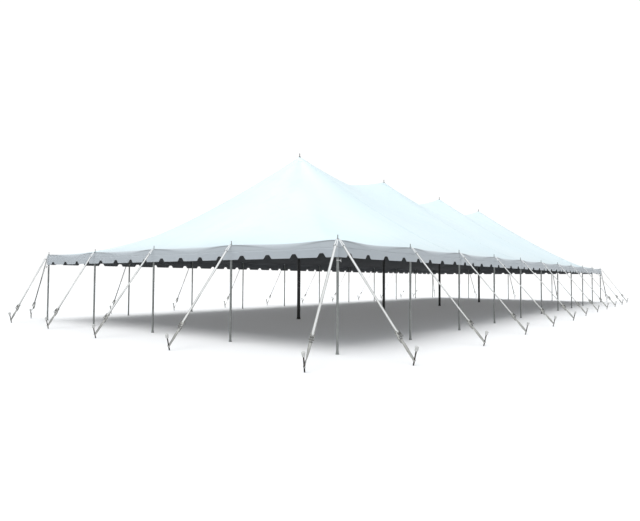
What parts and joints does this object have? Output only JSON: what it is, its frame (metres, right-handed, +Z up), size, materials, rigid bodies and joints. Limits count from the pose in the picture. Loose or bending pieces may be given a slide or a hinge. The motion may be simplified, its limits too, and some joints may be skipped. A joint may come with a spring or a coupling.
{
  "type": "sectional pole tent canopy",
  "caption": "Open-sided pole marquee: white canopy lifted to peaks by centre poles, scalloped valance, side poles, and webbing guys with ratchets and stakes.",
  "frame": {"origin": "on the ground at the middle of the plan", "axes": "+X along the tent's length, +Y across it towards the back, +Z up"},
  "size_m": [34.407, 16.0776, 6.087],
  "materials": {
    "vinyl_white": "coated woven polyester, smooth and slightly glossy, translucent white",
    "vinyl_valance": "coated woven polyester, smooth, seen in shade",
    "aluminium": "drawn tube, mill finish, dull",
    "black_steel": "black powder coat, satin",
    "webbing": "white woven polyester webbing",
    "ratchet_steel": "zinc plated pressed steel",
    "stake_steel": "forged steel bar, dark scale",
    "cap_plastic": "milky moulded polyethylene"
  },
  "bodies": {
    "root": {"canopy_end_left": "vinyl_white", "canopy_middle_left": "vinyl_white", "canopy_middle_centre": "vinyl_white", "canopy_middle_right": "vinyl_white", "canopy_end_right": "vinyl_white", "valance_front": "vinyl_valance", "valance_back": "vinyl_valance", "valance_left": "vinyl_valance", "valance_right": "vinyl_valance", "side_pole_front_00": "aluminium", "side_pole_back_00": "aluminium", "side_pole_front_01": "aluminium", "side_pole_back_01": "aluminium", "side_pole_front_02": "aluminium", "side_pole_back_02": "aluminium", "side_pole_front_03": "aluminium", "side_pole_back_03": "aluminium", "side_pole_front_04": "aluminium", "side_pole_back_04": "aluminium", "side_pole_front_05": "aluminium", "side_pole_back_05": "aluminium", "side_pole_front_06": "aluminium", "side_pole_back_06": "aluminium", "side_pole_front_07": "aluminium", "side_pole_back_07": "aluminium", "side_pole_front_08": "aluminium", "side_pole_back_08": "aluminium", "side_pole_front_09": "aluminium", "side_pole_back_09": "aluminium", "side_pole_front_10": "aluminium", "side_pole_back_10": "aluminium", "side_pole_left_1": "aluminium", "side_pole_right_1": "aluminium", "side_pole_left_2": "aluminium", "side_pole_right_2": "aluminium", "side_pole_left_3": "aluminium", "side_pole_right_3": "aluminium", "centre_pole_1": "black_steel", "centre_pole_2": "black_steel", "centre_pole_3": "black_steel", "centre_pole_4": "black_steel", "guys_front_left": "webbing", "guys_front_middle": "webbing", "guys_front_right": "webbing", "guys_back_left": "webbing", "guys_back_middle": "webbing", "guys_back_right": "webbing", "guys_left": "webbing", "guys_right": "webbing", "guys_corner_front_left": "webbing", "guys_corner_front_right": "webbing", "guys_corner_back_left": "webbing", "guys_corner_back_right": "webbing"}
  },
  "joints": []
}
